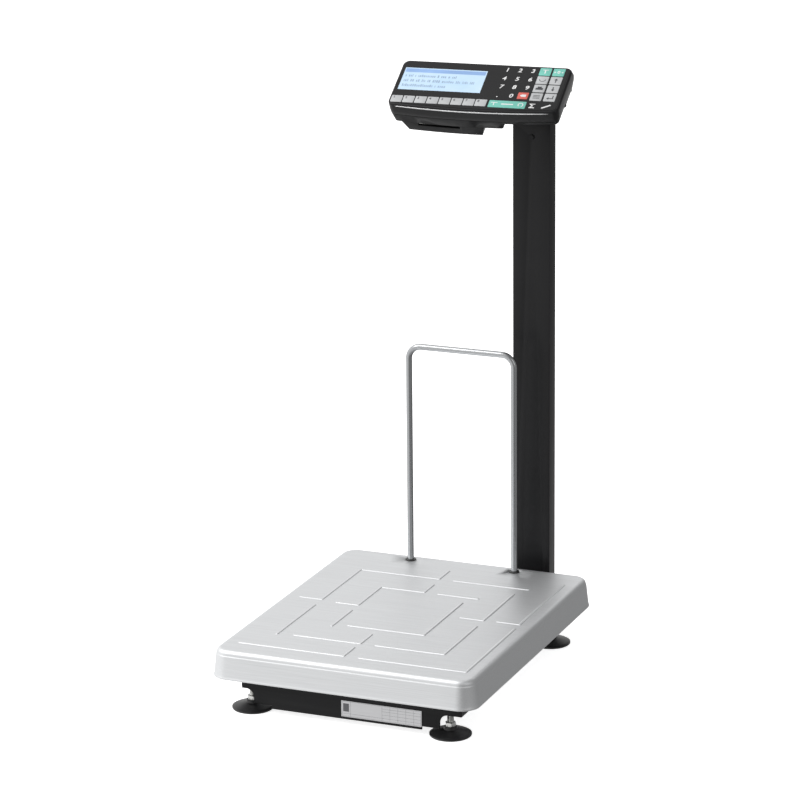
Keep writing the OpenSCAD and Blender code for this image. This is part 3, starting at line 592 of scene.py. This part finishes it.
def make_case():
    rings = [case_ring(4.6, -0.5), case_ring(4.0, -0.1)]
    for a in range(0, 91, 15):
        k = math.radians(a)
        rings.append(case_ring(EDGE_IN * (1 - math.sin(k)), -EDGE_DOWN * (1 - math.cos(k)),
                               EDGE_BACK * math.sin(k)))
    rings += [case_ring(inset, depth, rear) for inset, depth, rear in CASE_OUTSIDE + CASE_INSIDE]
    verts, faces = loft(rings, True, True)
    shell = mesh_from("upper_shell", placed(verts, FACE), faces)
    upper = add_object("upper_shell", shell, "case", "terminal")
    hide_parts("upper_case")
    softened("lower_case", "case", "terminal", 0.0012)
    softened("printer_door", "case", "door", 0.0012)


def make_trim():
    """Silver strip along the lower front edge, thinning out towards its ends."""
    left, right = TRIM_ENDS
    z = TRIM_DEPTH
    rings = []
    for i in range(TRIM_STEPS + 1):
        x = left + (right - left) * i / TRIM_STEPS
        t = 2 * i / TRIM_STEPS - 1
        s = BOW_CENTRE - math.sqrt(BOW_R ** 2 - x ** 2)
        thick = 1 - 0.7 * abs(t) ** 7
        rings.append([(x, s - 0.1, z - thick), (x, s - 0.45, z), (x, s - 0.1, z + thick),
                      (x, s + 0.9, z + thick), (x, s + 0.9, z - thick)])
    verts, faces = loft(rings, True, True)
    trim = add_object("trim_silver", mesh_from("trim_silver", placed(verts, FACE), faces), "trim", "terminal")
    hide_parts("trim_strip")


def pad_mesh(x0, x1, s0, s1, low, high, r=1.2, soft=0.35):
    """A flat key with round corners and a rolled top edge, on the terminal's face."""
    cx, cy = (x0 + x1) / 2, (s0 + s1) / 2
    hw, hd = (x1 - x0) / 2, (s1 - s0) / 2
    rings = []
    for inset, z in ((0, low), (0, high - soft * 0.6), (soft * 0.35, high - soft * 0.2), (soft, high)):
        outline = rounded_rect(hw - inset, hd - inset, max(r - inset, 0.2), 4)
        rings.append([(cx + x, cy + y, z) for x, y in outline])
    return loft(rings, False, True)


def joined(parts):
    verts, faces = [], []
    for v, f in parts:
        k = len(verts)
        verts += v
        faces += [tuple(i + k for i in face) for face in f]
    return verts, faces


def on_face(name, parts, material, smooth=True):
    verts, faces = joined(parts)
    obj = add_object(name, mesh_from(name, placed(verts, FACE), faces), material, "terminal", smooth)
    return obj


# Face layout, in millimetres from the left end and down from the top edge of the face
LEFT = -TERM_W / 2
LCD = (7.5, 132, 17.5, 67.5)
F_KEYS = (3.6, 18.15, 81.6, 96.6)
WIDE_KEY = (151, 206.5, 82, 97.6)
DIGIT_X = (160.3, 179.6, 199)
DIGIT_S = (12.6, 32, 50.8, 70.4)
RED_KEY = (189.5, 205, 61.5, 76.2)
BLOCK_X = (208.8, 229)
BLOCK_S = (4.2, 23.2, 42.2, 61.4)
BLOCK_CELL = (17.4, 17.2)
FILM_Z = 0.25
KEY_Z = 0.6
INK = 0.12
DIGIT_SIZE = 11.6
DIGIT_SLANT = 0.12
DIGIT_BOLD = 0.26


def pad(box, high=KEY_Z):
    x0, x1, s0, s1 = box
    return pad_mesh(LEFT + x0, LEFT + x1, -s1, -s0, FILM_Z - 0.1, high)


def make_keys():
    x0, pitch, s0, s1 = F_KEYS
    greys = [pad((x0 + i * pitch, x0 + (i + 1) * pitch - 1.3, s0, s1)) for i in range(8)]
    w, h = BLOCK_CELL
    for s in BLOCK_S[1:]:
        greys += [pad((x, x + w, s, s + h)) for x in BLOCK_X]
    on_face("grey_keys", greys, "key_grey")
    teals = [pad(WIDE_KEY)] + [pad((x, x + w, BLOCK_S[0], BLOCK_S[0] + h)) for x in BLOCK_X]
    on_face("teal_keys", teals, "key_teal")
    on_face("red_key", [pad(RED_KEY)], "key_red")


def glyph(text, x, s, size, z, shear=0.0, bold=0.0):
    """Mesh parts of a short text, centred at a place on the face."""
    curve = bpy.data.curves.new("glyph", "FONT")
    curve.body = text
    curve.size = size
    curve.shear = shear
    curve.offset = bold
    curve.extrude = INK / 2
    curve.align_x = "CENTER"
    curve.align_y = "CENTER"
    curve.resolution_u = 6
    obj = bpy.data.objects.new("glyph", curve)
    bpy.context.scene.collection.objects.link(obj)
    bpy.context.view_layer.update()
    mesh = bpy.data.meshes.new_from_object(obj)
    verts = [(LEFT + x + v.co.x, -s + v.co.y, z + v.co.z) for v in mesh.vertices]
    faces = [tuple(p.vertices) for p in mesh.polygons]
    bpy.data.objects.remove(obj)
    bpy.data.curves.remove(curve)
    bpy.data.meshes.remove(mesh)
    return verts, faces


def outline_part(points, x, s, z):
    """A flat printed shape from an outline round a place on the face."""
    ring = [(LEFT + x + px, -s + py, z) for px, py in points]
    top = [(px, py, pz + INK) for px, py, pz in ring]
    return loft([ring, top], False, True)


# Plain signs, as counterclockwise outlines round their middles
SUM_SIGN = [(-4, -5), (4.2, -5), (4.6, -3), (-1, -3), (2.2, 0), (-1, 3.4), (4.2, 3.4), (4.6, 5),
            (-4, 5), (-4, 4), (-0.4, 0), (-4, -4)]
SLANTED_BAR = [(-6.5, -4), (-4.8, -5), (7, 2.6), (5.6, 4.6), (-6, -2.2)]
T_SIGN = [(-0.8, 3.2), (-0.8, -4), (0.8, -4), (0.8, 3.2), (4, 3.2), (4, 4.6), (-4, 4.6), (-4, 3.2)]
SMALL_T_SIGN = [(-0.7, 2.2), (-0.7, -3.4), (0.7, -3.4), (0.7, 2.2), (5, 2.2), (5, 3.4), (-5, 3.4), (-5, 2.2)]
RIGHTWARD = [(-6.6, 1.8), (-6.6, -1.8), (-3.8, 0)]
LEFTWARD = [(6.6, -1.8), (6.6, 1.8), (3.8, 0)]
LONG_BAR = [(-9, -1.1), (9, -1.1), (9, 1.1), (-9, 1.1)]
SHORT_BAR = [(-5, -0.5), (5, -0.5), (5, 0.5), (-5, 0.5)]
TAG = [(-4.6, 0), (-1.6, -2.6), (4.6, -2.6), (4.6, 2.6), (-1.6, 2.6)]
BENT_ARROW = [(-5, -2.4), (-1.6, -5), (-1.6, -3.1), (5, -3.1), (5, 4), (3.6, 4), (3.6, -1.7),
              (-1.6, -1.7), (-1.6, 0.2)]
STEPPED_BLOCK = [(-5.5, -3), (5.5, -3), (5.5, 1), (3, 1), (3, 4), (-3, 4), (-3, 1), (-5.5, 1)]


def arrow(up):
    k = 1 if up else -1
    shape = [(-0.7, -4.5 * k), (0.7, -4.5 * k), (0.7, 1 * k), (2.6, 1 * k), (0, 5 * k), (-2.6, 1 * k),
             (-0.7, 1 * k)]
    return shape if up else shape[::-1]


def disc(r, n):
    return [(r * math.cos(math.tau * i / n), r * math.sin(math.tau * i / n)) for i in range(n)]


def band(outer, inner, start, stop, n, lift=0.0):
    """Outline of a curved band between two radii."""
    outside = [(outer * math.cos(a), outer * math.sin(a) + lift) for a in np.linspace(start, stop, n)]
    inside = [(inner * math.cos(a), inner * math.sin(a) + lift) for a in np.linspace(stop, start, n)]
    return outside + inside


def film_print():
    """White digits and signs on the black film."""
    parts = []
    for row, s in zip(("123", "456", "789"), DIGIT_S):
        for digit, x in zip(row, DIGIT_X):
            parts.append(glyph(digit, x, s, DIGIT_SIZE, FILM_Z + INK, DIGIT_SLANT, DIGIT_BOLD))
    parts.append(glyph("0", DIGIT_X[1], DIGIT_S[3], DIGIT_SIZE, FILM_Z + INK, DIGIT_SLANT, DIGIT_BOLD))
    z = FILM_Z + 0.05
    parts.append(outline_part(disc(1, 16), DIGIT_X[0] - 1, DIGIT_S[3] + 3.2, z))
    parts.append(outline_part(SUM_SIGN, 215.5, 90.3, z))
    parts.append(outline_part(SLANTED_BAR, 236.5, 90.3, z))
    return parts


def bright_key_print():
    """White signs on the teal and red keys."""
    w, h = BLOCK_CELL
    left, right = BLOCK_X[0] + w / 2, BLOCK_X[1] + w / 2
    s = BLOCK_S[0] + h / 2
    parts = [
        outline_part(T_SIGN, left, s, KEY_Z),
        glyph("0", right, s, 8.5, KEY_Z + INK / 2, 0, 0.2),
        outline_part(RIGHTWARD, right, s, KEY_Z),
        outline_part(LEFTWARD, right, s, KEY_Z),
    ]
    x, s = sum(WIDE_KEY[:2]) / 2, sum(WIDE_KEY[2:]) / 2
    parts += [
        outline_part(LONG_BAR, x, s, KEY_Z),
        outline_part(band(4.2, 3.0, -1.2, 4.0, 20), x + 20, s, KEY_Z),
        outline_part(SMALL_T_SIGN, x - 20, s, KEY_Z),
    ]
    x, s = sum(RED_KEY[:2]) / 2, sum(RED_KEY[2:]) / 2
    return parts + [outline_part(TAG, x, s, KEY_Z)]


def grey_key_print():
    """Dark numbers and signs on the grey keys."""
    x0, pitch, s0, _ = F_KEYS
    w, h = BLOCK_CELL
    left, right = BLOCK_X[0] + w / 2, BLOCK_X[1] + w / 2
    rows = [s + h / 2 for s in BLOCK_S]
    z = KEY_Z + INK / 2
    parts = [glyph(str(i + 1), x0 + i * pitch + 4.2, s0 + 4.4, 6.2, z, 0, 0.1) for i in range(8)]
    parts += [
        outline_part(arrow(True), right, rows[1], KEY_Z),
        outline_part(arrow(False), right, rows[2], KEY_Z),
        outline_part(BENT_ARROW, right, rows[3], KEY_Z),
        outline_part(band(5, 4, math.pi, math.tau, 16, 1.5), left, rows[1], KEY_Z),
        outline_part(STEPPED_BLOCK, left, rows[2], KEY_Z),
    ]
    return parts + [outline_part(SHORT_BAR, left, rows[3] + 3 * k, KEY_Z) for k in (-1, 0, 1)]


def make_print():
    on_face("white_print", film_print() + bright_key_print(), "white_ink", smooth=False)
    on_face("dark_print", grey_key_print(), "dark_ink", smooth=False)


def slab_part(x0, x1, s0, s1, low, high):
    ring = [(LEFT + x0, -s1), (LEFT + x1, -s1), (LEFT + x1, -s0), (LEFT + x0, -s0)]
    return loft([[(x, y, low) for x, y in ring], [(x, y, high) for x, y in ring]], False, True)


def make_display():
    """Display pane with a header bar and rows of bars of random width, which stand for its writing."""
    x0, x1, s0, s1 = LCD
    pane = slab_part(x0, x1, s0, s1, -0.6, FILM_Z - 0.02)
    window = on_face("display_pane", [pane], "display", False)
    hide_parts("lcd_window")
    bars = [slab_part(x0 + 1.5, x1 - 1.5, s0 + 2, s0 + 10, FILM_Z - 0.05, FILM_Z + 0.02)]
    on_face("display_header", bars, "display_bar", False)
    dashes = []
    rng = random.Random(7)
    for row in range(3):
        s = s0 + 15 + row * 11
        x = x0 + 4
        stop = x1 - 12 - 30 * (row == 0) - 45 * (row == 2)
        while x < stop:
            width = rng.uniform(1.0, 2.6)
            tall = rng.choice((4.2, 5.6, 4.2))
            dashes.append(slab_part(x, x + width, s + 5.6 - tall, s + 5.6, FILM_Z - 0.05, FILM_Z + 0.02))
            x += width + rng.choice((0.9, 0.9, 0.9, 3.4))
    on_face("display_rows", dashes, "display_ink", False)


def make_overlay():
    """Film over the whole face, with the display's opening left free."""
    x0, x1, s0, s1 = LCD
    outer = case_outline(3.8)
    hole = with_straights([(LEFT + x1, -s0), (LEFT + x0, -s0), (LEFT + x0, -s1), (LEFT + x1, -s1)], 12)
    bm = bmesh.new()
    edges = []
    for outline in (outer, hole):
        ring = [bm.verts.new((x, y, FILM_Z)) for x, y in outline]
        edges += [bm.edges.new((ring[i], ring[(i + 1) % len(ring)])) for i in range(len(ring))]
    bmesh.ops.triangle_fill(bm, edges=edges, use_beauty=True, use_dissolve=False, normal=(0, 0, 1))
    bmesh.ops.recalc_face_normals(bm, faces=bm.faces)
    if sum(f.normal.z for f in bm.faces) < 0:
        bmesh.ops.reverse_faces(bm, faces=bm.faces)
    for v in bm.verts:
        v.co = FACE @ (v.co * MM)
    mesh = bpy.data.meshes.new("face_film")
    bm.to_mesh(mesh)
    bm.free()
    film = add_object("face_film", mesh, "film", "terminal", False)
    sheet = film.modifiers.new("film", "SOLIDIFY")
    sheet.thickness = 0.5 * MM
    sheet.offset = -1
    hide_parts("keypad_overlay")


def make_bracket():
    softened("terminal_bracket", "coat", "bracket", 0.0007)


# ---- CAD nodes that keep their shape ----

KEPT = {
    "rail": ["backrest_rail"],
    "zinc": ["cell_spacers", "cell_bolts", "weld_nuts", "column_bolts", "swivel_bolt",
             "tilt_screws", "case_screws", "printer_chassis", "tear_bar", "roll_spindle", "door_pin"],
    "coat": ["spider_plate", "column_head", "column_screw"],
    "cell": ["load_cell"],
    "rubber": ["pan_pads", "platen_roller", "case_feet"],
    "cable": ["cell_cable"],
    "port": ["rail_sockets", "power_inlet", "data_port"],
    "foot": ["foot_pad_fl", "foot_pad_fr", "foot_pad_rl", "foot_pad_rr"],
    "board": ["lcd_module", "main_board"],
    "head": ["print_head", "printer_motor"],
    "brass": ["motor_pinion"],
    "acetal": ["platen_gear"],
    "paper": ["label_roll"],
    "card": ["roll_core"],
}


def finish_kept():
    for material, nodes in KEPT.items():
        for node in nodes:
            obj = frame["nodes"][node]
            for place in obj.material_slots:
                place.material = M[material]


# ---- stage, light and camera, in metres ----

LIGHT_AIM = (0, 0, 0.3)
FLOOR = 30

def area_light(name, place, aim, size, power):
    data = bpy.data.lights.new(name, "AREA")
    data.shape = "RECTANGLE"
    data.size, data.size_y = size
    data.energy = power
    obj = bpy.data.objects.new(name, data)
    bpy.context.scene.collection.objects.link(obj)
    obj.location = place
    obj.rotation_euler = (Vector(aim) - Vector(place)).to_track_quat("-Z", "Y").to_euler()


def make_stage():
    mat, nodes, links, bsdf = new_material("studio_floor")
    cloud = noise(nodes, links, coordinates(nodes, links, (1, 1, 1)), 3, 2)
    links.new(tinted(nodes, links, cloud, (0.93, 0.93, 0.93), (0.95, 0.95, 0.95)), bsdf.inputs["Base Color"])
    bsdf.inputs["Roughness"].default_value = 0.9
    bsdf.inputs["Emission Color"].default_value = (1, 1, 1, 1)
    bsdf.inputs["Emission Strength"].default_value = 0.8
    corners = [(-FLOOR, -FLOOR, 0), (FLOOR, -FLOOR, 0), (FLOOR, FLOOR, 0), (-FLOOR, FLOOR, 0)]
    mesh = mesh_from("studio_floor", corners, [(0, 1, 2, 3)])
    mesh.materials.append(mat)
    floor = bpy.data.objects.new("studio_floor", mesh)
    bpy.context.scene.collection.objects.link(floor)
    floor.visible_glossy = False
    floor.visible_diffuse = False
    bpy.context.scene.world = studio_world()
    area_light("key", (-2.2, -1.6, 3.4), LIGHT_AIM, (2.4, 2.4), 70)
    area_light("fill", (2.6, -1.2, 1.6), LIGHT_AIM, (1.5, 2.0), 8)


# Brightness of the room from far left (0) to far right (1)
ROOM = ((0.0, 1.0), (0.35, 0.82), (0.52, 0.6), (0.66, 0.2), (1.0, 0.3))


def studio_world():
    """A soft white room, brighter on the left than on the right."""
    world = bpy.data.worlds.new("studio")
    world.use_nodes = True
    nodes, links = world.node_tree.nodes, world.node_tree.links
    split = nodes.new("ShaderNodeSeparateXYZ")
    links.new(nodes.new("ShaderNodeTexCoord").outputs["Generated"], split.inputs["Vector"])
    across = nodes.new("ShaderNodeMapRange")
    across.inputs["From Min"].default_value = -1
    links.new(split.outputs["X"], across.inputs["Value"])
    ramp = nodes.new("ShaderNodeValToRGB")
    elements = ramp.color_ramp.elements
    for position, _ in ROOM[1:-1]:
        elements.new(position)
    for element, (position, level) in zip(elements, ROOM):
        element.position = position
        element.color = (level, level, level, 1)
    links.new(across.outputs["Result"], ramp.inputs["Fac"])
    links.new(ramp.outputs["Color"], nodes["Background"].inputs["Color"])
    nodes["Background"].inputs["Strength"].default_value = 1.1
    return world


CAMERA_AIM = Vector((-0.040, 0.0573, 0.3894))
CAMERA_AZIMUTH = math.radians(22.44)
CAMERA_ELEVATION = math.radians(15.92)
CAMERA_ROLL = math.radians(-0.56)
CAMERA_DISTANCE = 5.3807
CAMERA_LENS = 166.1


def make_camera():
    a, e, r = CAMERA_AZIMUTH, CAMERA_ELEVATION, CAMERA_ROLL
    back = Vector((math.sin(a) * math.cos(e), -math.cos(a) * math.cos(e), math.sin(e)))
    right = Vector((math.cos(a), math.sin(a), 0))
    up = back.cross(right)
    turned_right = right * math.cos(r) + up * math.sin(r)
    turned_up = up * math.cos(r) - right * math.sin(r)
    data = bpy.data.cameras.new("camera")
    data.lens = CAMERA_LENS
    data.sensor_width = 36
    camera = bpy.data.objects.new("camera", data)
    bpy.context.scene.collection.objects.link(camera)
    basis = Matrix((turned_right, turned_up, back)).transposed().to_4x4()
    camera.matrix_world = Matrix.Translation(CAMERA_AIM + back * CAMERA_DISTANCE) @ basis
    bpy.context.scene.camera = camera


bpy.context.scene.view_settings.view_transform = "Standard"
make_camera()
make_stage()
make_pan()
make_base()
make_feet()
make_rating_plate()
make_case()
make_trim()
make_overlay()
make_display()
make_keys()
make_print()
make_bracket()
finish_kept()
